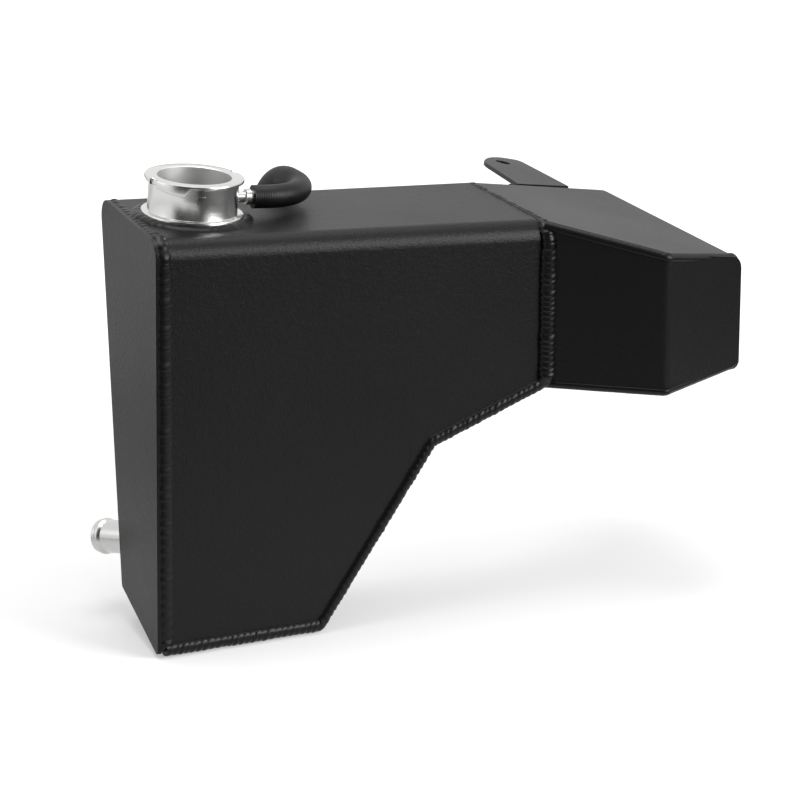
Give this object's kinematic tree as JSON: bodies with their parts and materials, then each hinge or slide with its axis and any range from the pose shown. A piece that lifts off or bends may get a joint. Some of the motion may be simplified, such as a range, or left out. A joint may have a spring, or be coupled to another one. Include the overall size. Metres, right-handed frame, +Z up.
{
  "type": "coolant expansion tank",
  "caption": "Welded sheet-metal coolant expansion tank with a bare filler neck, an overflow hose looped to the rear wall, an outlet pipe and a rear mounting tab.",
  "frame": {"origin": "centre of the hole in the mounting tab, at half the tab's thickness", "axes": "+X along the front face from the filler neck to the chamber, +Y to the rear, +Z up"},
  "size_m": [0.3633, 0.2466, 0.264],
  "materials": {
    "coated_sheet": "satin, fine-textured black powder coat",
    "coated_weld": "satin black powder coat over rippled weld bead",
    "bare_neck": "machined, bare",
    "bare_tube": "machined, bare",
    "rubber_hose": "smooth, semi-matte"
  },
  "bodies": {
    "root": {"main_wrapper": "coated_sheet", "left_end_plate": "coated_sheet", "bottom_plate": "coated_sheet", "slope_plate": "coated_sheet", "chamber_shell": "coated_sheet", "chamber_front_plate": "coated_sheet", "chamber_floor_plate": "coated_sheet", "mounting_tab": "coated_sheet", "weld_left_end": "coated_weld", "weld_seam": "coated_weld", "weld_lower_front": "coated_weld", "weld_lower_rear": "coated_weld", "weld_bottom_joint": "coated_weld", "weld_chamber_front": "coated_weld", "weld_chamber_floor": "coated_weld", "weld_chamber_corner": "coated_weld", "weld_neck": "coated_weld", "weld_outlet": "coated_weld", "weld_elbow": "coated_weld", "weld_tab": "coated_weld", "filler_neck": "bare_neck", "overflow_nipple": "bare_tube", "hose_elbow": "bare_tube", "outlet_pipe": "bare_tube", "overflow_hose": "rubber_hose"}
  },
  "joints": []
}
